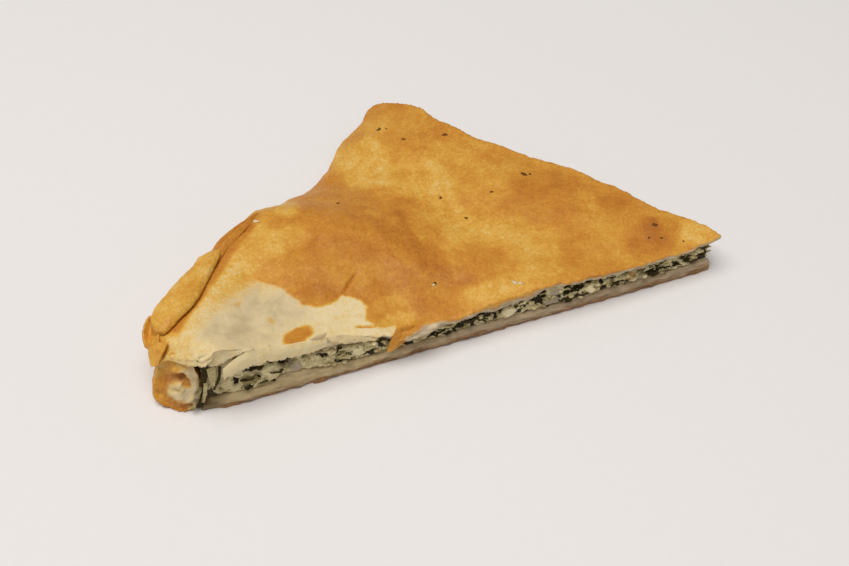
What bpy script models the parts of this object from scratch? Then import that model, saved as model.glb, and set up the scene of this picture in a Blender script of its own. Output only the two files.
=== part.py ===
"""A slice of thin spinach and cheese pie, cut to a triangle, resting on its base.

The long side of the triangle and the side on its right are knife cuts, which show
the base pastry, the filling and the lid. The left side is the pie's own edge, where
the sheets are rolled into a rim with a folded lip on top.

Metres, +Z up. X runs along the long cut, Y from that cut to the back corner.
"""

import math

import bmesh
import bpy
import numpy as np
from mathutils import Matrix, Vector, noise

MM = 0.001

# Driving sizes, in millimetres. The plan is measured from the left end of the long cut.
CUT_LENGTH = 132.0
BACK_CORNER = (71.0, 91.0)
RIM_START = (-11.0, 7.0)
RIM_WIDTH = 12.5
RIM_BULGE = 4.7
RIM_WAIST = 3.0
RIM_END_SLANT = 0.21
LID_HEIGHT = 11.2
LID_RISE_AT_RIM = 5.8
LID_THICKNESS = 1.6
LOOSE_SHEETS = 1.7
BASE_THICKNESS = 3.4
SEAM = 0.35

# Height of the lid's upper edge at stations along the long cut.
CUT_EDGE_HEIGHTS = (
    (-9.0, 16.5),
    (-3.0, 19.3),
    (2.5, 20.6),
    (9.0, 17.6),
    (16.0, 15.6),
    (24.0, 13.8),
    (34.0, 11.7),
    (47.0, 9.3),
    (62.0, 9.4),
    (73.0, 11.5),
    (86.0, 12.0),
    (98.0, 10.8),
    (115.0, 10.1),
    (134.0, 10.9),
)

# Blisters and hollows of the lid: centre x, centre y, radius, height.
LID_BLISTERS = (
    (46.0, 31.0, 12.0, 2.6),
    (33.0, 21.0, 8.0, 1.2),
    (57.0, 16.0, 8.0, 0.9),
    (62.0, 56.0, 8.0, -1.0),
    (75.0, 62.0, 8.0, 0.8),
    (73.0, 34.0, 7.0, -1.2),
    (89.0, 37.0, 9.0, 1.3),
    (82.0, 49.0, 5.0, -0.7),
    (103.0, 24.0, 8.0, 1.0),
    (91.0, 17.0, 8.0, -0.8),
    (117.0, 9.0, 6.0, 0.9),
    (16.0, 21.0, 7.0, -1.0),
)

slant = math.atan2(BACK_CORNER[1] - RIM_START[1], BACK_CORNER[0] - RIM_START[0])
RIM_ALONG = np.array([math.cos(slant), math.sin(slant)])
RIM_INWARD = np.array([math.sin(slant), -math.cos(slant)])
RIM_LENGTH = math.dist(RIM_START, BACK_CORNER)


def clear_scene():
    for obj in list(bpy.data.objects):
        bpy.data.objects.remove(obj, do_unlink=True)


def smooth(low, high, value):
    """0 below low, 1 above high, and a smooth step between."""
    t = min(1.0, max(0.0, (value - low) / (high - low)))
    return t * t * (3.0 - 2.0 * t)


def wander(x, y, z=0.0, size=1.0, seed=0.0):
    """Smooth noise from about -1 to 1, with features of the given size in mm."""
    place = Vector((x / size + 17.3 * seed, y / size - 9.1 * seed, z / size + 3.7 * seed))
    return noise.noise(place)


def rim_bow(along):
    """How far the rim's outer line lies inside its chord: it bulges, then draws in."""
    share = along / RIM_LENGTH
    near = -RIM_BULGE * smooth(-0.03, 0.075, share)
    far = (RIM_BULGE + RIM_WAIST) * smooth(0.30, 0.70, share)
    return near + far - RIM_WAIST * smooth(0.84, 1.0, share)


def rim_place(along, inward):
    """Plan point at a distance along the rim and a distance in from its outer line."""
    return np.array(RIM_START) + along * RIM_ALONG + (inward + rim_bow(along)) * RIM_INWARD


def rim_coordinates(x, y):
    """Distance along the rim and distance in from its outer line, for a plan point."""
    offset = np.array([x, y]) - np.array(RIM_START)
    along = float(offset @ RIM_ALONG)
    return along, float(offset @ RIM_INWARD) - rim_bow(along)


def nearness(along):
    """1 along the tall rolled half of the rim, 0 along the low half."""
    return 1.0 - smooth(0.44, 0.66, along / RIM_LENGTH)


def cut_edge_height(x):
    stations = np.array(CUT_EDGE_HEIGHTS)
    spread = np.linspace(x - 4.0, x + 4.0, 9)
    return float(np.interp(spread, stations[:, 0], stations[:, 1]).mean())


def lid_base_surface(x, y):
    """Height of the lid's upper surface without its finer blisters and ripples."""
    along, inward = rim_coordinates(x, y)
    near = nearness(along)
    inner = LID_HEIGHT + LID_RISE_AT_RIM * near * math.exp(-((max(0.0, inward - 8.0) / 26.0) ** 1.3))
    cut = math.exp(-((max(0.0, y) / 15.0) ** 1.5))
    z = inner * (1.0 - cut) + cut_edge_height(x) * cut
    z -= 3.0 * near * (1.0 - smooth(-1.0, 4.5, inward))
    fullness = 0.46 + 0.26 * smooth(0.6, 0.95, along / RIM_LENGTH)
    low_edge = 3.9 + (z - 3.9) * min(1.0, max(0.0, (inward + 0.6) / 19.0)) ** fullness
    return z * near + low_edge * (1.0 - near)


def lid_top(x, y):
    """Height of the lid's upper surface."""
    z = lid_base_surface(x, y)
    for cx, cy, radius, height in LID_BLISTERS:
        z += height * math.exp(-((x - cx) ** 2 + (y - cy) ** 2) / radius**2)
    return z + 0.35 * wander(x, y, size=8.0, seed=1) + 0.15 * wander(x, y, size=4.0, seed=2)


def loose_sheets(x, y):
    """1 where the lid splits into a few loose sheets, at the left of the long cut."""
    return (1.0 - smooth(26.0, 46.0, x)) * (1.0 - smooth(5.0, 18.0, y))


def lid_under(x, y):
    """Height of the lid's underside: smoother than its top, so blisters thicken the lid."""
    hollows = 0.0
    for cx, cy, radius, height in LID_BLISTERS:
        if height < 0.0 or cy < 12.0:
            hollows += height * math.exp(-((x - cx) ** 2 + (y - cy) ** 2) / radius**2)
    return lid_base_surface(x, y) + hollows - LID_THICKNESS - LOOSE_SHEETS * loose_sheets(x, y)


def base_top(x, y):
    """Height of the base pastry's upper surface, with a fold near the left of the cut."""
    fold = 2.3 * math.exp(-(((x - 20.0) / 5.0) ** 2) - (y / 10.0) ** 2)
    return BASE_THICKNESS + fold + 0.4 * wander(x, y, size=12.0, seed=3)


def right_cut(share, inset):
    """Plan point on the cut at the right, from the back corner (0) to the tip (1)."""
    corner = np.array(BACK_CORNER)
    tip = np.array((CUT_LENGTH, 0.0))
    ahead = (tip - corner) / np.linalg.norm(tip - corner)
    inwards = np.array([ahead[1], -ahead[0]])
    place = corner + share * (tip - corner) + inset * inwards
    notch = 1.6 * math.exp(-(((share - 0.69) / 0.02) ** 2))
    ripple = 0.5 * wander(place[0], place[1], size=11.0, seed=5)
    hollow = 0.9 * math.exp(-(((share - 0.25) / 0.2) ** 2))
    return place + inwards * (ripple + notch + hollow)


def from_right_cut(x, y):
    """How far a plan point lies inside the cut at the right."""
    run, rise = CUT_LENGTH - BACK_CORNER[0], -BACK_CORNER[1]
    return (run * (y - BACK_CORNER[1]) - rise * (x - BACK_CORNER[0])) / -math.hypot(run, rise)


def plan_line(share, front_start, front_end, rim_inset, cut_inset, rim_span):
    """Front and back point of the plan line at a share of the way from left to right.

    The front points run along the long cut. The back points follow the rim, then the
    cut at the right. rim_span is the stretch of the rim that the layer reaches along.
    """
    x = front_start[0] + share * (front_end[0] - front_start[0])
    turn = smooth(front_start[0], front_start[0] + 11.0, x)
    y = front_start[1] * (1.0 - turn) + front_end[1] * smooth(110.0, CUT_LENGTH, x)
    y += 0.25 * wander(x, 0.0, size=14.0, seed=6) - 0.7 * turn
    corner = 0.56
    back = np.zeros(2)
    for step in (-0.014, -0.007, 0.0, 0.007, 0.014):
        t = min(1.0, max(0.0, share + step))
        if t < corner:
            along = rim_span[0] + (rim_span[1] - rim_span[0]) * t / corner
            back += rim_place(along, rim_inset)
        else:
            start = RIM_WIDTH / 110.0 if rim_inset > 5.0 else 0.0
            back += right_cut(start + (1.0 - start) * (t - corner) / (1.0 - corner), cut_inset)
    return np.array([x, y]), back / 5.0


def layer(name, columns, row_shares, plan, top, bottom, front_rows, back_rows):
    """A closed slab over a ruled plan, with rows of their own for its two long walls.

    plan(share) gives the front and back points, top and bottom give heights. A wall row
    is a share of the way down and a function that gives its offset out of the wall.
    """
    mesh = bmesh.new()
    upper, lower, front_wall, back_wall = [], [], [], []
    for i in range(columns + 1):
        front, back = plan(i / columns)
        line_up, line_down = [], []
        for row_share in row_shares:
            x, y = front + (back - front) * row_share
            line_up.append(mesh.verts.new(Vector((x, y, top(x, y))) * MM))
            line_down.append(mesh.verts.new(Vector((x, y, bottom(x, y))) * MM))
        upper.append(line_up)
        lower.append(line_down)
        outward = (front - back) / np.linalg.norm(front - back)
        for wall, rows, j, sign in ((front_wall, front_rows, 0, 1.0), (back_wall, back_rows, -1, -1.0)):
            line = [line_up[j]]
            for level, offset in rows:
                at = line_up[j].co.lerp(line_down[j].co, level)
                push = offset(at.x / MM, at.y / MM, at.z / MM) * sign * MM
                line.append(mesh.verts.new(at + Vector((outward[0] * push, outward[1] * push, 0.0))))
            line.append(line_down[j])
            wall.append(line)
    for i in range(columns):
        for j in range(len(row_shares) - 1):
            mesh.faces.new((upper[i][j], upper[i + 1][j], upper[i + 1][j + 1], upper[i][j + 1]))
            mesh.faces.new((lower[i][j], lower[i][j + 1], lower[i + 1][j + 1], lower[i + 1][j]))
        for wall in (front_wall, back_wall):
            for k in range(len(wall[i]) - 1):
                mesh.faces.new((wall[i][k], wall[i][k + 1], wall[i + 1][k + 1], wall[i + 1][k]))
    for i in (0, columns):
        mesh.faces.new(front_wall[i][1:-1][::-1] + upper[i] + back_wall[i][1:-1] + lower[i][::-1])
    return finished(mesh, name)


def finished(mesh, name):
    bmesh.ops.recalc_face_normals(mesh, faces=mesh.faces)
    bmesh.ops.triangulate(mesh, faces=[f for f in mesh.faces if len(f.verts) > 4])
    data = bpy.data.meshes.new(name)
    mesh.to_mesh(data)
    mesh.free()
    obj = bpy.data.objects.new(name, data)
    bpy.context.scene.collection.objects.link(obj)
    return obj


def crags(depth, size, seed):
    """Offset of a wall row where the knife has torn the layer, none beside the rim."""

    def offset(x, y, z):
        beside_rim = 1.0 - smooth(RIM_WIDTH + 0.5, RIM_WIDTH + 4.0, rim_coordinates(x, y)[1])
        return depth * wander(x, y, z * 1.6, size=size, seed=seed) * (1.0 - beside_rim)

    return offset


def add_base():
    """The base pastry: a flat underside and a soft, uneven top under the filling."""
    inset = RIM_WIDTH + SEAM
    start = rim_place(RIM_END_SLANT * RIM_WIDTH - 1.5, inset)

    def plan(share):
        span = (RIM_END_SLANT * RIM_WIDTH + 0.6, RIM_LENGTH - RIM_END_SLANT * RIM_WIDTH)
        return plan_line(share, start, (CUT_LENGTH, 0.4), inset, 0.3, span)

    rows = [(0.3, crags(0.5, 3.0, 7)), (0.7, crags(0.4, 4.0, 8))]
    shares = (0.0, 0.05, 0.3, 0.7, 0.95, 1.0)
    return layer("base_pastry", 50, shares, plan, base_top, lambda x, y: 0.0, rows, rows)


def add_filling():
    """Spinach and cheese between base and lid, with crags where the knife went through."""
    inset = RIM_WIDTH + SEAM
    start = rim_place(RIM_END_SLANT * RIM_WIDTH, inset)

    def plan(share):
        span = (RIM_END_SLANT * RIM_WIDTH + 1.0, RIM_LENGTH - RIM_END_SLANT * RIM_WIDTH)
        front, back = plan_line(share, start + (0.0, 0.4), (CUT_LENGTH - 2.5, 0.6), inset, 0.7, span)
        return front + (0.0, 0.5), back

    def top(x, y):
        inside = smooth(1.0, 8.0, y) * smooth(1.0, 8.0, from_right_cut(x, y))
        reach = 0.6 + 3.0 * inside
        steps = ((0.0, 0.0), (reach, 0.0), (-reach, 0.0), (0.0, reach), (0.0, -reach))
        return min(lid_under(x + dx, y + dy) for dx, dy in steps) - SEAM - 0.5 * inside

    def bottom(x, y):
        return max(base_top(x + step, y) for step in (-1.3, 0.0, 1.3)) + SEAM

    rows = [
        (0.18, crags(1.1, 2.6, 9)),
        (0.40, crags(1.5, 2.4, 10)),
        (0.62, crags(1.4, 2.2, 11)),
        (0.84, crags(1.0, 2.6, 12)),
    ]
    shares = (0.0, 0.04, 0.16, 0.34, 0.55, 0.75, 0.9, 1.0)
    return layer("spinach_filling", 74, shares, plan, top, bottom, rows, rows)


def ribbon(name, path, widths, thickness):
    """A thin closed strip along a path of (centre, across) pairs, with a width at each."""
    mesh = bmesh.new()
    rings = []
    for k, (centre, across) in enumerate(path):
        ahead = Vector(path[min(k + 1, len(path) - 1)][0]) - Vector(path[max(k - 1, 0)][0])
        side = Vector(across).normalized()
        up = side.cross(ahead).normalized() * thickness / 2
        side = side * widths[k] / 2
        corners = [side + up, -side + up, -side - up, side - up]
        rings.append([mesh.verts.new((Vector(centre) + corner) * MM) for corner in corners])
    for first, second in zip(rings, rings[1:]):
        for k in range(4):
            mesh.faces.new((first[k], first[(k + 1) % 4], second[(k + 1) % 4], second[k]))
    mesh.faces.new(rings[0])
    mesh.faces.new(rings[-1][::-1])
    return finished(mesh, name)


def fuse(obj, extra):
    """Joins a loose flake to the piece that it hangs from."""
    boolean = obj.modifiers.new(extra.name, "BOOLEAN")
    boolean.operation = "UNION"
    boolean.solver = "EXACT"
    boolean.object = extra
    extra.hide_render = True
    extra.display_type = "WIRE"


def add_lid():
    """The browned top sheets, running out over the rim, with ragged cut edges."""
    start = rim_place(-0.5, 2.0)

    def plan(share):
        span = (0.8, RIM_LENGTH - 0.4)
        front, back = plan_line(share, start, (CUT_LENGTH + 0.8, 0.0), -0.3, -0.6, span)
        ragged = 0.6 * wander(front[0], 0.0, size=5.0, seed=13) + 0.4 * wander(front[0], 0.0, size=1.9, seed=14)
        return front - (0.0, 0.5 + ragged), back

    sheets = [
        (0.25, lambda x, y, z: -0.8 * loose_sheets(x, y)),
        (0.50, lambda x, y, z: (0.6 + 0.6 * wander(x, y, size=3.0, seed=15)) * loose_sheets(x, y)),
        (0.75, lambda x, y, z: -0.9 * loose_sheets(x, y)),
    ]
    plain = [(0.5, crags(0.3, 4.0, 16))]
    shares = [k / 17.0 for k in range(18)]
    lid = layer("top_pastry", 66, shares, plan, lid_top, lid_under, sheets, plain)

    flake_path = [
        ((52.4, 0.6, 9.3), (1.0, 0.0, -0.12)),
        ((51.0, -1.7, 9.0), (1.0, 0.0, -0.12)),
        ((48.4, -2.4, 7.6), (1.0, 0.0, -0.15)),
        ((45.6, -2.3, 5.7), (1.0, 0.0, -0.15)),
        ((43.8, -2.0, 4.4), (1.0, 0.0, -0.15)),
    ]
    fuse(lid, ribbon("hanging_flake", flake_path, (11.0, 9.6, 6.4, 3.4, 1.2), 1.0))
    strip_path = [
        ((14.5, 0.2, 15.4), (0.3, 0.0, 1.0)),
        ((12.4, -1.7, 14.9), (0.2, 0.0, 1.0)),
        ((9.4, -2.3, 13.6), (-0.4, 0.0, 1.0)),
        ((6.6, -2.2, 12.2), (-0.5, 0.0, 1.0)),
        ((3.9, -1.9, 11.0), (-0.6, 0.0, 1.0)),
    ]
    fuse(lid, ribbon("torn_strip", strip_path, (2.6, 3.6, 3.8, 3.4, 2.2), 0.9))
    return lid


def rim_outline(along, angle):
    """Distance in from the outer line and height, for the rolled rim's skin."""
    near = nearness(along)
    low = 0.1
    outer = 0.9 + 0.4 * wander(along, 5.0 * angle, size=7.0, seed=17)
    inward = outer + (RIM_WIDTH - outer) * (0.5 - 0.5 * math.cos(angle))
    spot = rim_place(along, inward)
    nearby = ((0.0, 0.0), (1.2, 0.0), (-1.2, 0.0), (0.0, 1.2), (0.0, -1.2))
    roof = min(lid_under(*(spot + shift)) for shift in nearby)
    height = min(7.2 + 9.4 * near, roof - SEAM)
    rise = math.copysign(abs(math.sin(angle)) ** 0.85, math.sin(angle))
    return inward, low + (height - low) * (0.5 + 0.5 * rise)


def add_rim():
    """The rolled rim: an oval roll from the long cut to the back corner, wound inside."""
    sections, around, rings = 36, 22, 6
    mesh = bmesh.new()
    skin = []
    for i in range(sections + 1):
        ring = []
        for k in range(around):
            share = i / sections
            inward, z = rim_outline(share * RIM_LENGTH, 2 * math.pi * k / around)
            first = RIM_END_SLANT * inward - 2.2 * (1.0 - z / 16.0)
            last = RIM_LENGTH - RIM_END_SLANT * inward - 0.6
            spot = rim_place(first + share * (last - first), inward)
            ring.append(mesh.verts.new(Vector((spot[0], spot[1], z)) * MM))
        skin.append(ring)
    for first, second in zip(skin, skin[1:]):
        for k in range(around):
            m = (k + 1) % around
            mesh.faces.new((first[k], first[m], second[m], second[k]))
    for ring, outward in ((skin[0], -1.0), (skin[-1], 1.0)):
        edge = [v.co.copy() for v in ring]
        centre = sum(edge, Vector()) / around
        last = ring
        for r in range(rings - 1, 0, -1):
            inner = []
            for k in range(around):
                winding = r / rings * 2.4 - k / around
                depth = 0.45 * (1.0 - math.cos(2 * math.pi * winding))
                push = Vector((*(RIM_ALONG * -outward * depth * MM), 0.0))
                inner.append(mesh.verts.new(centre.lerp(edge[k], r / rings) + push))
            for k in range(around):
                m = (k + 1) % around
                mesh.faces.new((last[k], last[m], inner[m], inner[k]))
            last = inner
        hollow = mesh.verts.new(centre + Vector((*(RIM_ALONG * -outward * 1.4 * MM), 0.0)))
        for k in range(around):
            mesh.faces.new((last[k], last[(k + 1) % around], hollow))
    return finished(mesh, "rolled_rim")


def add_lip():
    """The folded lip: a soft rope of pastry lying on the lid along the tall half of the rim."""
    sections, around = 30, 14
    start, end = 4.5, 55.0
    mesh = bmesh.new()
    skin = []
    for i in range(sections + 1):
        share = i / sections
        along = start + share * (end - start)
        taper = smooth(-0.03, 0.08, share) ** 0.6 * smooth(-0.04, 0.35, 1.0 - share) ** 0.7
        half = (3.8 - 1.4 * smooth(0.35, 0.7, share) + 0.4 * wander(along, 0.0, size=7.0, seed=18)) * taper
        high = (3.6 + 0.5 * wander(along, 3.0, size=9.0, seed=19)) * taper
        middle = 2.6 + 0.5 * wander(along, 9.0, size=11.0, seed=20)
        ring = []
        for k in range(around):
            angle = 2 * math.pi * k / around
            spot = rim_place(along, middle - half * math.cos(angle))
            reach = ((0.0, 0.0), (1.5, 0.0), (-1.5, 0.0), (0.0, 1.5), (0.0, -1.5))
            floor = max(lid_top(*(spot + shift)) for shift in reach) + 0.1
            crown = lid_top(*rim_place(along, middle)) + high * max(0.0, math.sin(angle)) ** 0.8
            z = floor if math.sin(angle) < 0.01 else max(crown, floor + 0.4)
            ring.append(mesh.verts.new(Vector((spot[0], spot[1], z)) * MM))
        skin.append(ring)
    for first, second in zip(skin, skin[1:]):
        for k in range(around):
            m = (k + 1) % around
            mesh.faces.new((first[k], first[m], second[m], second[k]))
    mesh.faces.new(skin[0])
    mesh.faces.new(skin[-1][::-1])
    return finished(mesh, "rim_lip")


def add_material(obj, colour, roughness):
    material = bpy.data.materials.new(obj.name)
    material.use_nodes = True
    shader = material.node_tree.nodes["Principled BSDF"]
    shader.inputs["Base Color"].default_value = (*colour, 1.0)
    shader.inputs["Roughness"].default_value = roughness
    shader.inputs["Metallic"].default_value = 0.0
    obj.data.materials.append(material)
    obj.data.shade_smooth()
    obj.data.set_sharp_from_angle(angle=math.radians(50.0))


def centre_on_origin(objects):
    """Moves the meshes so that the middle of the slice's footprint box is the origin."""
    corners = np.array([v.co for obj in objects for v in obj.data.vertices])
    middle = (corners.min(axis=0) + corners.max(axis=0)) / 2
    shift = Vector((-middle[0], -middle[1], -corners[:, 2].min()))
    for obj in bpy.data.objects:
        obj.data.transform(Matrix.Translation(shift))
    return shift


clear_scene()
pieces = (
    (add_base(), (0.29, 0.21, 0.13), 0.6),
    (add_filling(), (0.12, 0.11, 0.05), 0.55),
    (add_lid(), (0.55, 0.25, 0.05), 0.5),
    (add_rim(), (0.55, 0.26, 0.06), 0.55),
    (add_lip(), (0.56, 0.25, 0.04), 0.5),
)
for piece, colour, roughness in pieces:
    add_material(piece, colour, roughness)
shift_to_origin = centre_on_origin([piece for piece, _, _ in pieces])
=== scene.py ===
import math
import random

import bpy
import numpy as np
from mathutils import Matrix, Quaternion, Vector, noise
from mathutils.bvhtree import BVHTree


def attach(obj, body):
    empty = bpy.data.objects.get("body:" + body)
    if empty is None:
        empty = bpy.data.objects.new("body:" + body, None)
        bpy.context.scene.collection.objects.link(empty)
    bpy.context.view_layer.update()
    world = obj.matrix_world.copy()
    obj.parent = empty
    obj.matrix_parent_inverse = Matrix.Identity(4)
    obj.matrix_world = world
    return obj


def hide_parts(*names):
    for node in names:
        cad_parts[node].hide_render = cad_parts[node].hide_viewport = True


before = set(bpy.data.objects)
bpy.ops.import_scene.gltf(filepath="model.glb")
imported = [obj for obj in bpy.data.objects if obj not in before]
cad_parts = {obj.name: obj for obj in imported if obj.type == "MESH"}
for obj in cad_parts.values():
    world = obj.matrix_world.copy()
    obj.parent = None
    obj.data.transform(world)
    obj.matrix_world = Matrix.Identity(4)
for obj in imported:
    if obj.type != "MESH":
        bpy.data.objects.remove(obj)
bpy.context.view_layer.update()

# Bottom pastry: a few thin sheets of oiled dough, rolled flat and baked on the tray.
# Its cut sides show pale grey-beige layers with thin brown lines near the tray side,
# and its underside is evenly browned. The filling was spread straight onto it.
MM = 0.001
LONG_CUT_LEFT_END = np.array((-60.661, -43.772, 0))
BASE_VOXEL = 0.00045
BASE_DOUGH = (0.5, 0.375, 0.235)
BASE_CREAM = (0.62, 0.47, 0.25)
# Painted shade for the base's left end, where it tucks in under the rim's cut end.
BASE_TUCKED_SHADE = (0.22, 0.165, 0.075)
BASE_LINES = (0.21, 0.105, 0.038)
BASE_UNDERSIDE = (0.44, 0.215, 0.07)
BACK_CORNER = np.array((71, 91))
RIGHT_RUN = np.array((0.557, -0.831))
RIGHT_OUT = np.array((0.831, 0.557))

# How far the knife wandered out from a straight right cut: place from the back corner, out.
RIGHT_CUT_SWAY = (
    (0, 0), (10, 1.1), (13, 1.4), (17, 0.7), (21, -0.7), (26, -1.5), (34, -1.8), (38, -1.8), (42, -1.1),
    (50, -0.7), (56, 0), (60, 1), (66, 1.7), (73, 1.5), (79, 2.2), (85, 1.6), (92, 1.1), (98, 1.6),
    (105, 1.5), (109, 0.9),
)


def select_only(*pieces):
    bpy.ops.object.select_all(action="DESELECT")
    for piece in pieces:
        piece.select_set(True)
    bpy.context.view_layer.objects.active = pieces[0]


def apply_modifier(piece, kind, **settings):
    step = piece.modifiers.new(kind, kind)
    for key, value in settings.items():
        setattr(step, key, value)
    bpy.ops.object.modifier_apply(modifier=step.name)


def new_object(name, data):
    piece = bpy.data.objects.new(name, data)
    bpy.context.scene.collection.objects.link(piece)
    return piece


def evenly_meshed_copy(node, name, voxel):
    """A merged copy of a frame node, meshed again in small even faces for shaping."""
    piece = new_object(name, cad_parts[node].data.copy())
    select_only(piece)
    bpy.ops.object.mode_set(mode="EDIT")
    bpy.ops.mesh.select_all(action="SELECT")
    bpy.ops.mesh.remove_doubles(threshold=0.000001)
    bpy.ops.object.mode_set(mode="OBJECT")
    apply_modifier(piece, "REMESH", mode="VOXEL", voxel_size=voxel)
    bpy.ops.object.shade_smooth()
    piece.data.materials.clear()
    return piece


def points_of(piece):
    """The piece's points in millimetres from the left end of the long cut."""
    flat = np.empty(len(piece.data.vertices) * 3)
    piece.data.vertices.foreach_get("co", flat)
    return flat.reshape(-1, 3) / MM - LONG_CUT_LEFT_END


def facings_of(piece):
    flat = np.empty(len(piece.data.vertices) * 3, dtype=np.float32)
    piece.data.vertex_normals.foreach_get("vector", flat)
    return flat.reshape(-1, 3).astype(float)


def set_points(piece, points):
    piece.data.vertices.foreach_set("co", ((points + LONG_CUT_LEFT_END) * MM).ravel())
    piece.data.update()


def paint(piece, name, values):
    """Keeps one value from 0 to 1 for each point, or one for all, for the material."""
    layer = piece.data.attributes.new(name, "FLOAT", "POINT")
    values = np.broadcast_to(np.clip(values, 0, 1), len(layer.data))
    layer.data.foreach_set("value", values.astype(np.float32))


def rise(low, high, values):
    """0 below low, 1 above high, and a smooth step between."""
    t = np.clip((np.asarray(values, dtype=float) - low) / (high - low), 0, 1)
    return t * t * (3 - 2 * t)


def fall(low, high, values):
    """1 below low, 0 above high, and a smooth step between."""
    return 1 - rise(low, high, values)


def wander(points, size, seed):
    """Soft noise from about -1 to 1 at each point, with features of this size in mm."""
    places = points / size + np.array((17.3, -9.1, 3.7)) * seed
    return np.array([noise.noise(place) for place in places])


def add_step(tree, kind, settings, inputs):
    """Adds a shader node. Each input is a plain value or the output of another node."""
    step = tree.nodes.new("ShaderNode" + kind)
    for key, value in settings.items():
        setattr(step, key, value)
    for key, value in inputs.items():
        if isinstance(value, bpy.types.NodeSocket):
            tree.links.new(value, step.inputs[key])
        else:
            step.inputs[key].default_value = value
    return step


def sway_right_cut(points, until=200):
    """Moves the points near the right cut out or in with it, up to this far along it."""
    from_corner = points[:, :2] - BACK_CORNER
    along = from_corner @ RIGHT_RUN
    out = np.interp(along, *zip(*RIGHT_CUT_SWAY)) * fall(until - 12, until, along)
    out *= fall(0, 16, -(from_corner @ RIGHT_OUT))
    points[:, :2] += out[:, None] * RIGHT_OUT


def mixed(tree, share, first, second):
    """The first colour where share is 0, the second where it is 1."""
    first, second = ((*shade, 1) if isinstance(shade, tuple) else shade for shade in (first, second))
    inputs = {"Factor": share, 6: first, 7: second}
    return add_step(tree, "Mix", {"data_type": "RGBA"}, inputs).outputs[2]


def reckoned(tree, operation, first, second):
    return add_step(tree, "Math", {"operation": operation}, {0: first, 1: second}).outputs[0]


def rescaled(tree, value, low, high, new_low=0, new_high=1):
    inputs = {"Value": value, 1: low, 2: high, 3: new_low, 4: new_high}
    return add_step(tree, "MapRange", {}, inputs).outputs[0]


def speckle(tree, size, detail=3, stretch=(1, 1, 1)):
    """Noise from 0 to 1 in the piece's own space, with features of this size in mm."""
    space = add_step(tree, "TexCoord", {}, {}).outputs["Object"]
    space = add_step(tree, "Mapping", {}, {"Vector": space, "Scale": stretch}).outputs[0]
    inputs = {"Vector": space, "Scale": 1 / (size * MM), "Detail": detail, "Roughness": 0.6}
    return add_step(tree, "TexNoise", {}, inputs).outputs[0]


def painted(tree, name):
    return add_step(tree, "Attribute", {"attribute_name": name}, {}).outputs["Fac"]


def new_finish(name, specular=0.35, softness=0):
    material = bpy.data.materials.new(name)
    material.use_nodes = True
    shader = material.node_tree.nodes["Principled BSDF"]
    shader.inputs["Specular IOR Level"].default_value = specular
    shader.inputs["Subsurface Weight"].default_value = softness
    shader.inputs["Subsurface Scale"].default_value = 0.0012
    shader.inputs["Subsurface Radius"].default_value = (1, 0.55, 0.25)
    return material, material.node_tree, shader


def join_finish(tree, shader, colour, roughness, height, relief):
    """Wires up colour, roughness (a pair follows the height) and relief of a depth in mm."""
    if isinstance(roughness, tuple):
        roughness = rescaled(tree, height, 0.3, 0.7, *roughness)
    tree.links.new(colour, shader.inputs["Base Color"])
    tree.links.new(roughness, shader.inputs["Roughness"])
    bump = add_step(tree, "Bump", {}, {"Distance": relief * MM, "Strength": 0.8, "Height": height})
    tree.links.new(bump.outputs[0], shader.inputs["Normal"])


bottom = evenly_meshed_copy("base_pastry", "bottom_pastry", BASE_VOXEL)
spots = points_of(bottom)
x, y, z = spots.T
facing = facings_of(bottom)
upright = fall(0.35, 0.8, abs(facing[:, 2]))
layering = wander(spots * (0.35, 0.35, 1), 0.8, 31) * 0.42 + wander(spots * (0.15, 0.15, 1), 0.45, 32) * 0.22
spots += facing * (upright * layering + 0.08)[:, None]
z += wander(spots, 9, 33) * 0.25 * rise(0.5, 2, z)
at_front = fall(1, 4, y)
lapping = 0.5 * wander(spots * (1, 0.3, 0), 2.4, 35) + 0.3 * wander(spots * (1, 0.3, 0), 0.9, 36)
z += lapping * at_front * rise(1.8, 3.2, z)
y += 0.7 * at_front * rise(2, 3.6, z + 0.8 * wander(spots, 3, 37))
sway_right_cut(spots, 100)
toward_rim = fall(-2.2, 3.5, x) * fall(1, 5, y)
x -= 0.8 * toward_rim * fall(0.5, 3, z)
z *= 1 - 0.62 * fall(-3, 7, x) * fall(2, 6, y)
y += 0.7 * fall(-3, 4, x) * fall(2, 6, y)
z[:] = np.maximum(z, 0)
set_points(bottom, spots)
paint(bottom, "creamy", fall(24, 84, x + 10 * wander(spots, 6, 34)) * rise(0.2, 1, z))
# Painted shade: the upright sides at the base's left end, under the rim's cut end, are painted dark.
paint(bottom, "tucked_in_shade", fall(-1, 3, x - 0.5 * z) * upright)
paint(bottom, "under", rise(0.4, 0.9, -facing[:, 2]))

finish, tree, shader = new_finish("bottom_dough", softness=0.1)
lines = speckle(tree, 0.9, 2, (0.1, 0.1, 1.9))
place = add_step(tree, "TexCoord", {}, {}).outputs["Object"]
level = add_step(tree, "SeparateXYZ", {}, {0: place}).outputs[2]
drift = rescaled(tree, speckle(tree, 7, 3), 0.3, 0.7, -0.0008, 0.0008)
level = reckoned(tree, "ADD", level, drift)
low = rescaled(tree, level, 0.0011, 0.0026, 1, 0.12)
browned_lines = reckoned(tree, "MULTIPLY", rescaled(tree, lines, 0.46, 0.58), low)
dough = mixed(tree, painted(tree, "creamy"), BASE_DOUGH, BASE_CREAM)
blots = reckoned(tree, "MULTIPLY", rescaled(tree, speckle(tree, 2, 4, (0.6, 0.6, 1.3)), 0.45, 0.7), 0.55)
dough = mixed(tree, blots, dough, (0.27, 0.21, 0.11))
colour = mixed(tree, browned_lines, dough, BASE_LINES)
baked_side = mixed(tree, rescaled(tree, speckle(tree, 1.6, 3), 0.4, 0.6), BASE_LINES, (0.4, 0.19, 0.06))
darker = mixed(tree, rescaled(tree, level, 0.0006, 0.0019, 0.95, 0), colour, baked_side)
tray_side = mixed(tree, rescaled(tree, speckle(tree, 5, 5), 0.35, 0.7), BASE_UNDERSIDE, (0.58, 0.34, 0.13))
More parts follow.
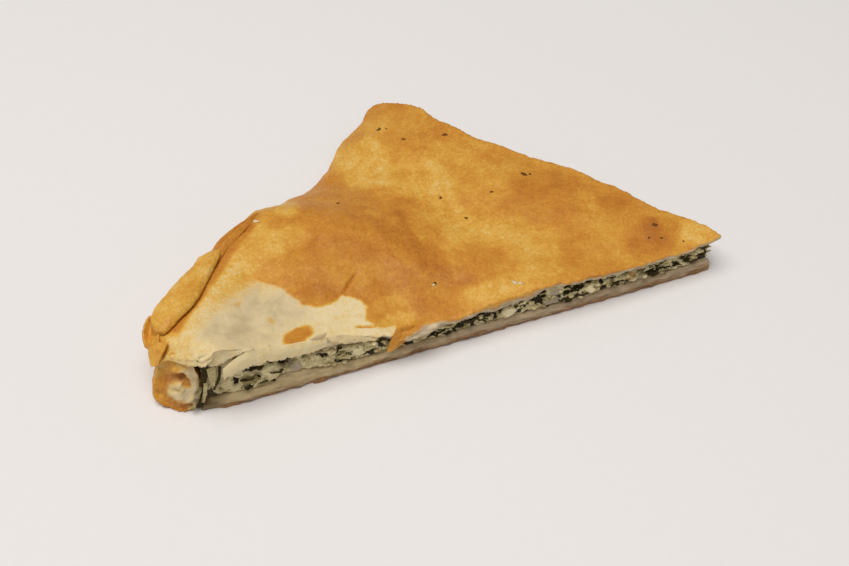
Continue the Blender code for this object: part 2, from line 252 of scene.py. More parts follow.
# Painted shade at the base's left end under the rim's cut end.
darker = mixed(tree, painted(tree, "tucked_in_shade"), darker, BASE_TUCKED_SHADE)
colour = mixed(tree, painted(tree, "under"), darker, tray_side)
join_finish(tree, shader, colour, (0.5, 0.75), lines, 0.25)
bottom.data.materials.append(finish)
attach(bottom, "root")
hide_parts("base_pastry")

# Filling: chopped spinach and crumbled white cheese, spread through the whole slice.
# The knife has left a torn, craggy face of dark leaves and olive-stained cheese, with
# small hollows between them painted dark as shade, pressed between the base and the lid.
EYE = np.array((-23.25, -198.85, 239.6))
FILLING_VOXEL = 0.0004
CHEESE = (0.68, 0.57, 0.29)
CHEESE_PALE = (0.86, 0.75, 0.46)
# Colours of the filling's marks. Dark is both the dark spinach and painted shade in the hollows that lie in.
STAINS_AND_HOLLOW_SHADE = {
    "olive": (0.34, 0.27, 0.105), "pale": CHEESE_PALE, "grey": (0.45, 0.37, 0.26),
    "orange": (0.48, 0.27, 0.09), "dark": (0.032, 0.021, 0.007),
}

# What the long cut shows, seen from the eye: kind, how far it stands out (or in, below
# zero), place along the cut and up from the tray, half length, half height, any turn.
CUT_FEATURES = (
    ("cheese", 0.2, 3.5, 5.8, 3, 3.6), ("dark", -1, 6, 7.5, 0.7, 1.5, -15),
    ("dark", -0.8, 9.4, 10.2, 1.8, 0.8), ("olive", 0, 9.4, 6.6, 2.2, 1.4),
    ("cheese", 0.8, 14.4, 8, 2.2, 2.5), ("dark", -0.6, 15, 10.8, 2, 0.5, -10),
    ("dark", -1.2, 18.4, 9.3, 1.9, 1.2, -8), ("dark", -0.5, 16.3, 5.2, 0.6, 2, -25),
    ("dark", -0.3, 17, 3.4, 1.2, 0.6), ("grey", 0.3, 19.9, 6.2, 2.1, 2.6),
    ("dark", -0.8, 22.4, 10.9, 0.5, 1.2), ("cheese", 0.2, 24.5, 7.4, 1.8, 2.2, -35),
    ("dark", -0.5, 26.4, 9, 2.6, 0.6, -48), ("cheese", 0.6, 29.3, 8.9, 1.4, 1.2, 20),
    ("dark", 0.3, 32.3, 6.4, 2.2, 0.8), ("cheese", 0.3, 33, 5.3, 2, 0.5, -8),
    ("dark", -0.3, 33, 4.2, 3.6, 0.7, -12), ("pale", 0.7, 36, 6.6, 1.3, 1.4),
    ("cheese", 0.4, 38.6, 7, 1.5, 1.2), ("dark", -0.4, 39, 4.5, 2.2, 0.9),
    ("dark", -0.3, 41.7, 6.2, 0.6, 2.4, 25), ("dark", -0.6, 47.3, 4.9, 2.6, 1.1, 10),
    ("dark", -0.3, 52.6, 5.2, 1.8, 0.6, -15), ("cheese", 0.3, 56.8, 4, 1.8, 1.1),
    ("dark", -0.2, 57.5, 5.5, 2.6, 0.4), ("dark", -0.7, 61.5, 4.8, 1.7, 1.3, -15),
    ("dark", -0.4, 65.1, 5, 0.5, 1.5), ("dark", -0.6, 68.6, 6.7, 2.1, 1.1, -25),
    ("pale", 0.5, 70.8, 7.7, 0.9, 1), ("dark", -0.7, 72, 5.9, 1.4, 1.2, 15),
    ("dark", -0.3, 70.9, 3.2, 0.7, 1.2, -10), ("olive", -0.2, 74, 2.6, 0.8, 1.5),
    ("pale", 0.5, 75, 5.1, 1.9, 1.3), ("dark", -0.3, 77.4, 4.4, 1.1, 0.6, -10),
    ("dark", -0.3, 79.3, 5.7, 1.1, 0.7, -20), ("dark", -1, 83.5, 7.8, 1.5, 2.4),
    ("dark", -0.2, 84.2, 5.6, 2.4, 1.6, -20), ("grey", 0.2, 87, 4.6, 2.6, 1.7),
    ("olive", 0.2, 85.7, 5.9, 0.8, 0.6), ("grey", 0.3, 87.2, 7.3, 1.5, 1.6, -30),
    ("dark", -0.3, 90.4, 6.1, 0.9, 0.7), ("dark", -0.5, 93.1, 7, 1.6, 0.6),
    ("cheese", 0.2, 93.6, 5, 2.2, 1.4, -20), ("pale", 0.7, 97.6, 5.9, 2, 1.8, -20),
    ("dark", -0.5, 100.1, 6, 0.6, 2, 10), ("dark", -0.5, 102, 6.9, 2, 0.6, -5),
    ("dark", -0.3, 101, 3.9, 1.3, 1.2), ("olive", 0.3, 103.1, 5.5, 1.1, 1),
    ("dark", -0.5, 106.8, 7.8, 1, 0.6), ("orange", 0.5, 108.2, 6.2, 1.5, 1.3, -35),
    ("dark", -0.3, 106.5, 4.4, 1, 0.6, -20), ("pale", 0.4, 109.6, 4.2, 1.2, 0.8),
    ("grey", 0, 111.4, 3.9, 1.2, 1.2), ("dark", -0.2, 113.3, 5.2, 1.2, 0.8, -20),
    ("dark", -0.6, 116.4, 5.4, 3, 0.7, -4), ("olive", 0, 115, 3.3, 1.8, 0.9, -10),
    ("dark", -0.5, 121, 5.6, 1.4, 0.9, -25), ("dark", -0.5, 124.8, 6, 1.6, 0.7, 10),
    ("olive", 0.2, 126.9, 3.9, 1.2, 1.7), ("dark", -0.3, 128.8, 4.6, 1.3, 2.4, 8),
)


def as_seen(points, axis, level):
    """Where the line from the eye through each point crosses a plane square to the axis.

    Axis 2 gives plan places that many mm up, axis 1 places along the long cut and up.
    """
    reach = (level - EYE[axis]) / (points[:, axis] - EYE[axis])
    crossing = EYE + (points - EYE) * reach[:, None]
    return crossing[:, [0, 1] if axis == 2 else [0, 2]]


def frayed(places, points, size, seed, reach):
    """The seen places shifted by noise, so that patches laid on them get ragged borders."""
    return places + np.column_stack((wander(points, size, seed), wander(points, size, seed + 1))) * reach


def spot_mask(places, x, y, long, wide, turn=0, soft=0.3):
    """1 inside an oval patch, 0 outside, with a soft border of this share of its size."""
    angle = math.radians(turn)
    dx = places[:, 0] - x
    dy = places[:, 1] - y
    u = (dx * math.cos(angle) + dy * math.sin(angle)) / long
    v = (dy * math.cos(angle) - dx * math.sin(angle)) / wide
    return 1 - rise(1 - soft, 1 + soft, np.hypot(u, v))


filling = evenly_meshed_copy("spinach_filling", "filling_mass", FILLING_VOXEL)
spots = points_of(filling)
x, y, z = spots.T
sway_right_cut(spots, 100)
facing = facings_of(filling)
upright = fall(0.45, 0.9, abs(facing[:, 2]))
seen = as_seen(spots, 1, 0)
ragged = frayed(seen, spots, 1.1, 44, 0.7)
at_front = upright * fall(2, 3.5, y)
lumps = wander(spots, 1.7, 41) * 0.6 + wander(spots, 0.8, 42) * 0.4
masks = dict.fromkeys(STAINS_AND_HOLLOW_SHADE, np.zeros(len(spots)))
leafy_part = 0.25 + 0.75 * rise(12, 34, x)
masks["olive"] = rise(0.08, 0.32, wander(spots * (0.5, 0.5, 1.2), 2, 43)) * 0.8 * leafy_part
masks["dark"] = rise(0.3, 0.44, wander(spots * (0.5, 0.5, 1.4), 1.6, 46)) * rise(0.4, 0.9, leafy_part)
stand = lumps - 0.15 - 0.5 * masks["dark"]
for kind, out, *oval in CUT_FEATURES:
    mask = spot_mask(ragged, *oval, soft=0.28) * at_front
    for name in masks:
        masks[name] = masks[name] * (1 - mask) + (mask if name == kind else 0)
    stand = stand * (1 - 0.6 * mask) + out * mask
spots += facing * (upright * stand + 0.12)[:, None]
z -= 2 * fall(-3, 7, x) * fall(3, 8, z) * at_front
set_points(filling, spots)
# The dark mask carries the dark spinach and the painted shade of the hollows.
for name, values in masks.items():
    paint(filling, name, values)

finish, tree, shader = new_finish("spinach_and_cheese", specular=0.18, softness=0.05)
crumb = speckle(tree, 0.6, 4)
leafy = speckle(tree, 0.9, 3, (0.5, 0.5, 1.5))
colour = mixed(tree, rescaled(tree, crumb, 0.4, 0.65), CHEESE, CHEESE_PALE)
olive_share = reckoned(tree, "MULTIPLY", rescaled(tree, leafy, 0.5, 0.62), 0.5)
colour = mixed(tree, olive_share, colour, STAINS_AND_HOLLOW_SHADE["olive"])
uneven = rescaled(tree, crumb, 0.3, 0.7, -0.3, 0.3)
for name, shade in STAINS_AND_HOLLOW_SHADE.items():
    share = rescaled(tree, reckoned(tree, "ADD", painted(tree, name), uneven), 0.35, 0.65)
    shaded = mixed(tree, leafy, tuple(0.7 * v for v in shade), tuple(1.3 * v for v in shade))
    colour = mixed(tree, share, colour, shaded)
join_finish(tree, shader, colour, (0.32, 0.62), crumb, 0.35)
filling.data.materials.append(finish)
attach(filling, "root")
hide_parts("spinach_filling")

# Leaf shreds: cut ends of chopped spinach leaves that stick out of the filling at both
# cuts, thin, wet and wavy, painted light and shade in patches: near black shaded, olive lit through.
LEAF_THICKNESS = 0.28
FRONT_LEAVES = 66
RIGHT_LEAVES = 46
FACE_FOOT = 2.8
FACE_DEPTH = 2.5
BROAD_LEAVES_UNTIL = 24
BROAD_LEAF = 1.15
leaf_draw = random.Random(11)


def surface_of(piece):
    """The piece's surface in mm, for finding where a line meets it."""
    faces = [tuple(face.vertices) for face in piece.data.polygons]
    return BVHTree.FromPolygons([Vector(point) for point in points_of(piece)], faces)


filling_shape = surface_of(filling)


def on_filling(x, z, right=False):
    """The filling's torn face: seen at (x, z) on the long cut, or met at the right cut.

    None where there is no face, or it lies too low or too far behind the long cut.
    """
    start, aim = Vector(EYE), Vector((x, 0, z)) - Vector(EYE)
    if right:
        start, aim = Vector((87.6 + 61 * x, 102.2 - 91 * x, z)), Vector((-0.83, -0.56, 0))
    spot = filling_shape.ray_cast(start, aim if right else aim.normalized())[0]
    hidden = spot is None or spot.z < FACE_FOOT or (spot.y > FACE_DEPTH and not right)
    return None if hidden else spot


def shaped_grid(name, columns, rows, place, closed=False):
    """A grid whose points are moved to place(s, t), with s along it and t across it."""
    bpy.ops.mesh.primitive_grid_add(x_subdivisions=columns, y_subdivisions=rows, size=1)
    piece = bpy.context.object
    piece.name = name
    points = np.array([place(v.co.x + 0.5, v.co.y + 0.5) for v in piece.data.vertices])
    set_points(piece, points)
    if closed:
        bpy.ops.object.mode_set(mode="EDIT")
        bpy.ops.mesh.select_all(action="SELECT")
        bpy.ops.mesh.remove_doubles(threshold=0.000002)
        bpy.ops.mesh.fill_holes(sides=0)
        bpy.ops.mesh.normals_make_consistent(inside=False)
        bpy.ops.object.mode_set(mode="OBJECT")
    bpy.ops.object.shade_smooth()
    return piece


def thicken(piece, thickness):
    """Gives a sheet its thickness in mm, evenly to both sides."""
    select_only(piece)
    apply_modifier(piece, "SOLIDIFY", thickness=thickness * MM, offset=0)


def join_pieces(name, pieces):
    select_only(*pieces)
    bpy.ops.object.join()
    pieces[0].name = name
    return pieces[0]


def leaf_shred(start, run, across, out, width, wave):
    """A wavy strip from a start, along run, turned so that it shows its edge or its face."""
    phase = leaf_draw.uniform(0, 6.3)

    def place(s, t):
        taper = math.sin(math.pi * min(1, max(0, 0.08 + 0.84 * s))) ** 0.5
        sway = wave * math.sin(phase + 7 * s) + 0.5 * wave * math.sin(2.1 * phase + 15 * s)
        side = width * taper * (t - 0.5)
        cupped = sway + 0.15 * width * math.cos(5 * t + phase)
        return start + run * (s - 0.5) + across * side + out * cupped

    return shaped_grid("leaf_shred", 10, 3, place)


def leaf_row(count, right):
    shreds = []
    while len(shreds) < count:
        x = leaf_draw.uniform(0.04, 0.98) if right else leaf_draw.uniform(1, 129)
        z = leaf_draw.uniform(2.6, 9)
        if not right:
            z += 3.5 * max(0, 1 - x / 30) * leaf_draw.random()
        spot = on_filling(x, z, right)
        length = leaf_draw.uniform(1.6, 5)
        tilt = leaf_draw.gauss(0, 0.35)
        width = leaf_draw.uniform(0.5, 1.5)
        wave = leaf_draw.uniform(0.15, 0.45)
        edge_on = leaf_draw.random() < 0.55
        if spot is None or (not right and x < BROAD_LEAVES_UNTIL and width < BROAD_LEAF):
            continue
        run = Vector((0.556, -0.831, 0)) if right else Vector((1, 0, 0))
        out = Vector((0.831, 0.556, 0)) if right else Vector((0, -1, 0))
        heading = run * math.cos(tilt) + Vector((0, 0, math.sin(tilt)))
        upward = heading.cross(out) * -1
        across = (out * 0.9 + upward * 0.3) if edge_on else (upward * 0.9 + out * 0.3)
        wave_way = upward if edge_on else out
        start = spot + out * (0.05 if edge_on else 0.2)
        shreds.append(leaf_shred(start, heading * length, across, wave_way, width, wave))
    return shreds


leaves = join_pieces("leaf_shreds", leaf_row(FRONT_LEAVES, False) + leaf_row(RIGHT_LEAVES, True))
thicken(leaves, LEAF_THICKNESS)
spots = points_of(leaves)
# Painted light: the light value picks, in random patches, between the shaded and the lit copy of the leaf
# colour.
paint(leaves, "light", rise(-0.25, 0.35, wander(spots * (0.4, 0.4, 0.4), 1.6, 47)))
spinach_finish, tree, shader = new_finish("wet_spinach", specular=0.06, softness=0.05)
veins = speckle(tree, 0.5, 3)
# Painted shade and light: dark is a near-black shaded copy of the leaf colour, light an olive copy lit
# through.
dark = mixed(tree, veins, (0.01, 0.007, 0.002), (0.085, 0.06, 0.018))
light = mixed(tree, veins, (0.22, 0.175, 0.055), (0.74, 0.61, 0.33))
light_share = rescaled(tree, painted(tree, "light"), 0.55, 0.95)
join_finish(tree, shader, mixed(tree, light_share, dark, light), (0.4, 0.65), veins, 0.2)
leaves.data.materials.append(spinach_finish)
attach(leaves, "root")

# Cheese crumbs: broken white cheese, stained olive by the spinach, in small rough lumps
# that the knife left standing at both cuts.
FRONT_CRUMBS = 150
RIGHT_CRUMBS = 80
crumb_draw = random.Random(12)


def small_ball(name):
    """A ball of 1 mm radius, to be made into a crumb, speck or chip."""
    bpy.ops.mesh.primitive_ico_sphere_add(subdivisions=2, radius=MM)
    bpy.ops.object.shade_smooth()
    bpy.context.object.name = name
    return bpy.context.object


def crumb_kind(seed):
    kind = small_ball("crumb_kind")
    for point in kind.data.vertices:
        bulge = noise.noise(point.co / MM * 1.3 + Vector((seed, 0, 0)))
        nick = noise.noise(point.co / MM * 3.1 + Vector((0, seed, 0)))
        point.co *= 1 + 0.45 * bulge + 0.25 * nick
    return kind


def crumb_row(count, right, kinds):
    crumbs = []
    while len(crumbs) < count:
        x = crumb_draw.uniform(0.04, 0.98) if right else crumb_draw.uniform(1.5, 127)
        z = crumb_draw.uniform(2.8, 8.6)
        if not right:
            z += 2.5 * max(0, 1 - x / 30) * crumb_draw.random()
        size = crumb_draw.choice((0.25, 0.35, 0.45, 0.7))
        squash = crumb_draw.uniform(0.4, 0.9)
        turn = crumb_draw.uniform(0, 6.3)
        kind = crumb_draw.choice(kinds)
        spot = on_filling(x, z, right)
        if spot is None:
            continue
        crumb = new_object("crumb", kind.data.copy())
        about = Quaternion((0.3, 0.8, 0.5), turn)
        shape = np.array([about @ point.co for point in crumb.data.vertices]) / MM
        set_points(crumb, shape * size * (1, 1, squash) + np.array(spot))
        crumbs.append(crumb)
    return crumbs


kinds = [crumb_kind(seed) for seed in (1, 5, 9, 13)]
crumbs = crumb_row(FRONT_CRUMBS, False, kinds) + crumb_row(RIGHT_CRUMBS, True, kinds)
crumbs = join_pieces("cheese_crumbs", crumbs)
for kind in kinds:
    bpy.data.objects.remove(kind)
spots = points_of(crumbs)
paint(crumbs, "stained", rise(-0.3, 0.3, wander(spots, 2.5, 48)))
finish, tree, shader = new_finish("crumbled_cheese", specular=0.4, softness=0.15)
grain = speckle(tree, 0.5, 4)
clean = mixed(tree, grain, CHEESE, CHEESE_PALE)
stained = mixed(tree, grain, (0.4, 0.32, 0.13), (0.6, 0.5, 0.24))
colour = mixed(tree, painted(tree, "stained"), clean, stained)
join_finish(tree, shader, colour, (0.4, 0.7), grain, 0.2)
crumbs.data.materials.append(finish)
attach(crumbs, "root")

# Rolled rim: the pie's own edge, where all sheets are rolled up into a thick cord and
# baked golden. The knife shows the inside of the roll, pale and a little hollow, at the
# front, and a second, smaller cut at the back corner.
RIM_VOXEL = 0.00035
RIM_DIRECTION = np.array((0.6985, 0.7156, 0))
RIM_INWARD = np.array((0.7156, -0.6985, 0))
RIM_START = np.array((-11, 7, 0))
RIM_LENGTH = 117.4
RIM_MIDDLE_HEIGHT = 8


def toast_group():
    """Baked pastry's look: from pale dough over yellow and golden to deep brown."""
    group = bpy.data.node_groups.new("toasted_pastry", "ShaderNodeTree")
    for name, way in (("Bake", "INPUT"), ("Ash_and_shade", "INPUT"), ("Dough", "INPUT"), ("Colour", "OUTPUT"),
                      ("Roughness", "OUTPUT"), ("Height", "OUTPUT")):
        kind = "NodeSocketColor" if name == "Colour" else "NodeSocketFloat"
        group.interface.new_socket(name, in_out=way, socket_type=kind)
    given = group.nodes.new("NodeGroupInput").outputs
    fine = speckle(group, 0.8, 4)
    grain = speckle(group, 0.35, 2)
    cloudy = speckle(group, 2.4, 3)
    broad = speckle(group, 6.5, 3)
    # The bake value also carries painted shade, given as deeper browning in cracks, hollows and beside the
    # folds.
    bake = given["Bake"]
    for pattern, reach in ((fine, 0.12), (grain, 0.1), (cloudy, 0.07), (broad, 0.11)):
        bake = reckoned(group, "ADD", bake, rescaled(group, pattern, 0.3, 0.7, -reach, reach))
    ramp = add_step(group, "ValToRGB", {}, {"Fac": bake})
    shades = (
        (0, (0.765, 0.615, 0.352)), (0.18, (0.725, 0.53, 0.215)), (0.36, (0.7, 0.398, 0.068)),
        (0.5, (0.64, 0.318, 0.039)), (0.62, (0.59, 0.258, 0.027)), (0.75, (0.54, 0.214, 0.02)),
        (0.88, (0.49, 0.178, 0.015)), (1, (0.415, 0.138, 0.012)),
    )
    ramp.color_ramp.elements.remove(ramp.color_ramp.elements[0])
    for place, shade in shades[:-1]:
        ramp.color_ramp.elements.new(place).color = (*shade, 1)
    ramp.color_ramp.elements[-1].color = (*shades[-1][1], 1)
    # The ash colour is also used as painted grey shade on some loose sheets.
    ash_and_shade_colour = mixed(group, rescaled(group, broad, 0.35, 0.65), (0.52, 0.405, 0.225), (0.69, 0.545, 0.32))
    colour = mixed(group, given["Ash_and_shade"], ramp.outputs[0], ash_and_shade_colour)
    fibres = speckle(group, 0.9, 3, (0.3, 0.3, 1.6))
    dough = mixed(group, rescaled(group, fibres, 0.4, 0.65), (0.42, 0.315, 0.19), (0.66, 0.54, 0.35))
    colour = mixed(group, given["Dough"], colour, dough)
    threads = reckoned(group, "MULTIPLY", fibres, 0.3)
    height = reckoned(group, "ADD", reckoned(group, "MULTIPLY", fine, 0.5), threads)
    sockets = group.nodes.new("NodeGroupOutput").inputs
    for socket, value in zip(sockets, (colour, rescaled(group, fine, 0.3, 0.7, 0.42, 0.6), height)):
        group.links.new(value, socket)
    return group


toasted_pastry = toast_group()


def pastry_finish(name, relief, softness=0.12):
    finish, tree, shader = new_finish(name, specular=0.35, softness=softness)
    inputs = {mask.capitalize(): painted(tree, mask) for mask in ("bake", "ash_and_shade", "dough")}
    look = add_step(tree, "Group", {"node_tree": toasted_pastry}, inputs).outputs
    join_finish(tree, shader, look["Colour"], look["Roughness"], look["Height"], relief)
    return finish


def paint_bake_and_shade(piece, finish, bake, ash_and_shade=0, dough=0):
    """Paints how deep it is browned or painted in shade, where it is ash pale or in painted grey shade, and
    where bare dough shows.
    """
    for name, values in (("bake", bake), ("ash_and_shade", ash_and_shade), ("dough", dough)):
        paint(piece, name, values)
    piece.data.materials.append(finish)


def rim_bow(along):
    """How far the rim's outer line lies inside its chord: it bulges, then draws in."""
    share = along / RIM_LENGTH
    bulge = -4.7 * rise(-0.03, 0.075, share) + 7.7 * rise(0.3, 0.7, share)
    return bulge - 3 * rise(0.84, 1, share)


def beside_rim(along, inward, height):
    """A place so far along the rim, in from its outer line, and up from the tray."""
    place = RIM_START + along * RIM_DIRECTION + (inward + rim_bow(along)) * RIM_INWARD
    return Vector((place[0], place[1], height))


def rim_measures(points):
    along = (points - RIM_START) @ RIM_DIRECTION
    return along, (points - RIM_START) @ RIM_INWARD - rim_bow(along)


# How far the back half of the rim swells out past the frame's: place along it, out.
RIM_SWELL = (
    (0, 0), (45, 0), (49, 0.8), (54, 0.9), (58, 0.4), (62, 0.6), (65, 1.6), (68, 2.6), (73, 2),
    (79, 1.4), (85, 1.2), (90, 2), (95, 3.2), (99, 3.3), (104, 2), (109, 0.3),
)


def swell_rim(points, inner):
    """Swells the back half of the rim, and less what lies inside it, up to this far in."""
    along, inward = rim_measures(points)
    out = np.interp(along, *zip(*RIM_SWELL)) * fall(inner - 12, inner, inward)
    points -= out[:, None] * RIM_INWARD


rim = evenly_meshed_copy("rolled_rim", "rolled_edge", RIM_VOXEL)
spots = points_of(rim)
x, y, z = spots.T
facing = facings_of(rim)
along, inward = rim_measures(spots)
from_end = along - 0.21 * inward + 2.2 * (1 - z / 16)
near_end = rise(0.35, 0.75, -(facing @ RIM_DIRECTION)) * fall(4, 6, from_end)
far_end = rise(0.35, 0.75, facing @ RIM_DIRECTION) * rise(RIM_LENGTH - 9, RIM_LENGTH - 6, along)
ends = np.maximum(near_end, far_end)
crown = fall(0.2, 1.5, from_end)
above = np.maximum(0, z - RIM_MIDDLE_HEIGHT)
z += 0.55 * above * crown
flare = fall(1, 10, from_end) * fall(2, 8, inward)
spread = fall(0, 10, z) * fall(1, 9, from_end) * fall(7.5, 11.5, inward)
spots -= RIM_INWARD * (1.5 * flare + 0.8 * spread * fall(2, 8, inward))[:, None]
spots -= RIM_DIRECTION * (2.1 * spread)[:, None]
swell_rim(spots, 20)
seen = as_seen(spots, 1, 0)
ragged = frayed(seen, spots, 1.4, 51, 0.7)
skin = 1 - ends
toward_edge = np.hypot((ragged[:, 0] + 4.5) / 8.5, (ragged[:, 1] - 11) / 9.6)
ring = near_end * rise(0.52, 0.7, toward_edge) * fall(-7.6, -6, seen[:, 0])
# Painted shade: the hollow, the shadow, the slit of the dark opening and the dark line at the rim's foot
# (the second bit) are painted as deep browning; the first bit is a dark bit of the roll.
brown_ring, hollow_shade, shadow, lump, slit_shade, *bits_and_foot_shade = (near_end * spot_mask(ragged, *oval) for oval in (
    (-8, 14, 2, 1.8, 10, 0.4), (-6, 13.8, 0.9, 1.3, 15, 0.5), (-5.3, 11.4, 0.7, 1.8, 0, 0.5),
    (-7.4, 10.6, 1.4, 2.5, 5), (-1.2, 14, 0.7, 5, -12), (-7.1, 3.9, 0.9, 1.2), (-5.4, 2.6, 1.6, 0.4, -20),
))
bits_and_foot_shade = np.maximum(*bits_and_foot_shade)
top_tan = near_end * rise(15, 16.6, ragged[:, 1])
pale_top = near_end * rise(16.5, 18.5, ragged[:, 1]) * rise(-7, -4.5, seen[:, 0])
push = skin * (0.14 * wander(spots * (1, 1, 1.4), 2.6, 53) + 0.07 * wander(spots, 0.9, 54))
push += ends * (0.45 * wander(spots, 1.9, 55) + 0.25 * wander(spots, 0.8, 56) - 0.1)
push += lump * 0.7 - hollow_shade * 0.9 - slit_shade * 1.8 - shadow * 0.5 - brown_ring * 0.4
spots += facing * push[:, None]
doming = rise(0.55, 1.05, toward_edge) * fall(1.5, 4, from_end)
spots += RIM_DIRECTION * (1.5 * doming)[:, None]
z[:] = np.maximum(z, 0)
set_points(rim, spots)
# Browning, with painted shade in the hollow, the shadow, the slit and the line at the rim's foot.
browning_and_shade = 0.66 + 0.14 * wander(spots, 9, 57) + 0.14 * fall(0, 2.5, z)
browning_and_shade = browning_and_shade * skin + ends * (0.08 + 0.1 * wander(spots, 2, 58))
ring_depth = 0.68 - 0.28 * rise(14, 18, seen[:, 1])
for mask, depth in ((top_tan, 0.34), (pale_top, 0.14), (ring, ring_depth), (brown_ring, 0.82), (shadow, 0.8),
                    (lump, 0.22), (hollow_shade, 0.9), (bits_and_foot_shade, 1), (slit_shade, 1)):
    browning_and_shade += (depth - browning_and_shade) * mask
browned_and_shaded_parts = (ring, 0.8 * brown_ring * (1 - lump), hollow_shade, bits_and_foot_shade, slit_shade, 0.9 * top_tan, 0.8 * shadow, 0.6 * lump)
inside = ends * (1 - np.maximum.reduce(browned_and_shaded_parts))
paint_bake_and_shade(rim, pastry_finish("rim_dough", 0.3), browning_and_shade, 0, 0.45 * inside)
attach(rim, "root")
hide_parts("rolled_rim")

# Crust: the browned lid of a few thin sheets, brushed with oil. Heat has raised it in
# soft blisters, which toasted brown, while the hollows between them stayed yellow and
# the part beside the rim pale. Its cut edges are ragged, with white dough under the skin.
BROWNING_LEVEL = 12
CRUST_VOXEL = 0.00045
GOLDEN = 0.62
PALE_OUTLINE = (
    (14, 30), (20, 24.5), (23.2, 21.3), (24.7, 18.2), (27.4, 14), (30.5, 11.8), (33.2, 12.1),
    (36.8, 13.9), (38.4, 12.9), (40, 9.7), (40.5, 7.6), (39.4, 3.6), (40.8, 1.2), (42.7, -0.2),
    (45.4, -0.6), (44.6, -2.6), (43, -10), (-22, -12), (-22, 20),
)

# Browning as seen from the eye: depth of baking, centre, half length, half width, any turn.
BROWNED_PATCHES = (
    (0.7, 70, 80, 16, 14), (0.5, 66, 72, 5, 4), (0.6, 77, 70, 6, 7, 40), (0.42, 14, 36, 22, 6, 48),
    (0.48, 22, 34, 7, 9, 30), (0.66, 24, 28, 6, 6), (0.4, 28, 37.5, 3.2, 4.2, 20),
    (0.82, 44, 32, 15, 20), (0.8, 50, 12, 11, 15), (0.8, 33, 19, 9, 6, -35),
    (0.74, 42, 47, 13, 6, 20), (0.4, 58, 52, 6, 13, -25), (0.34, 61, 60, 4, 8, -10),
    (0.62, 71, 60, 7, 7), (0.64, 57, 43, 5, 5), (0.94, 60, 27, 2.6, 12, -4), (0.62, 65, 29, 5, 10),
    (0.4, 73, 42, 3.5, 12, -8), (0.46, 72, 27, 5, 9), (0.53, 81, 54, 7, 4, -50), (0.54, 86, 41, 8, 7),
    (0.72, 79, 63, 4, 3), (0.48, 66, 48, 3.5, 8), (0.4, 55, 61, 5.5, 6, 30), (0.74, 52, 44.5, 4, 4.5),
    (0.5, 32, 38.5, 3.5, 4.5), (0.43, 25, 36.5, 5, 4.5, 20), (0.63, 42, 20, 8, 4.5, -20),
    (0.9, 95.5, 31.5, 4.3, 7.2, 15), (0.8, 104, 33, 6, 4, -50), (0.76, 97, 24, 7, 5),
    (0.76, 88, 29, 3.5, 3.5), (0.46, 79, 22.5, 5, 5, -30), (0.45, 87, 14, 8, 6.5, -30),
    (0.7, 74, 14, 5, 4), (0.8, 64.5, 9, 5, 4.5), (0.88, 62, 16.5, 2.4, 6), (0.93, 57.5, 27.5, 2.8, 5),
    (0.42, 72, 2.5, 9, 3.2), (0.49, 84, 4, 6, 4), (0.68, 97, 9, 3.5, 4), (0.51, 107, 9, 4, 4.5),
    (0.54, 107, 24, 2.5, 4), (0.82, 113.5, 21, 4, 4.5, -50), (0.86, 114, 5, 5, 6),
    (1, 118, 6.5, 3.6, 5.8, 5), (0.76, 122.5, 7, 2.5, 3.5), (0.36, 128, 2.5, 5, 4.5),
    (0.84, 54.5, 3, 2.5, 3), (0.46, 46.5, 1, 4.5, 3, 10), (0.6, 46.5, 7, 5.5, 3),
    (0.8, 62, 39, 3.5, 3), (0.42, 32.5, 48, 3.5, 3),
)


def inside_outline(places, outline):
    """How many mm inside a closed outline each place lies, below zero outside it."""
    nearest = np.full(len(places), 1e9)
    crossings = np.zeros(len(places), dtype=int)
    for start, end in zip(outline, outline[1:] + outline[:1]):
        start, run = np.array(start), np.array(end) - np.array(start)
        offset = places - start
        share = np.clip(offset @ run / (run @ run), 0, 1)
        nearest = np.minimum(nearest, np.hypot(*(offset - share[:, None] * run).T))
        level = (offset[:, 1] >= 0) != (offset[:, 1] - run[1] >= 0)
        slope = offset[:, 1] * run[0] / (run[1] if run[1] else 1e-9)
        crossings += level & (offset[:, 0] < slope)
    return np.where(crossings % 2 == 1, nearest, -nearest)


crust = evenly_meshed_copy("top_pastry", "top_crust", CRUST_VOXEL)
spots = points_of(crust)
x, y, z = spots.T
facing = facings_of(crust)
crust_shape = surface_of(crust)
stations = np.linspace(-6, 132, 277)
met = [crust_shape.ray_cast(Vector((station, 3.5, 0)), Vector((0, 0, 1)))[0] for station in stations]
undersides = [12 if spot is None else spot.z for spot in met]
underside = np.interp(x, stations, undersides)
dangling = rise(0, 0.5, underside - 0.3 - z) * fall(-0.5, 1.5, y)
dangling *= rise(1, 2, x) * fall(58, 60, x)
z += dangling * (underside + 0.5 - z)
y += dangling * (0.8 - y)
from_right = (spots[:, :2] - BACK_CORNER) @ -RIGHT_OUT
along, inward = rim_measures(spots)
at_front = fall(0.4, 1.8, y)
at_right = fall(0.3, 1.6, from_right)
sideways = fall(0.05, 0.45, facing[:, 2])
in_front = np.maximum(at_front, fall(3, 5, along) * rise(0.3, 0.6, -(facing @ RIM_DIRECTION)))
ripple = 0.35 * wander(spots, 9, 59) + 0.13 * wander(spots, 3.2, 61) + 0.07 * wander(spots, 1.3, 62)
tearing = np.maximum(at_front, at_right) * (0.35 * wander(spots, 1.8, 63) + 0.22 * wander(spots, 0.8, 64))
tearing *= 0.5 + 0.5 * rise(18, 45, x)
top_edge = underside + 1.6 + 1.7 * fall(26, 46, x)
below_edge = top_edge - z
skin_line = 0.5 + 0.5 * wander(spots, 1.6, 60)
cut_side = np.maximum(in_front, at_right) * sideways
cut_side = cut_side * np.maximum(rise(0, 0.35, below_edge - skin_line), at_right * 0.6)
cut_side = np.maximum(cut_side, rise(0.2, 0.6, -facing[:, 2])) * rise(-2, 0, x)
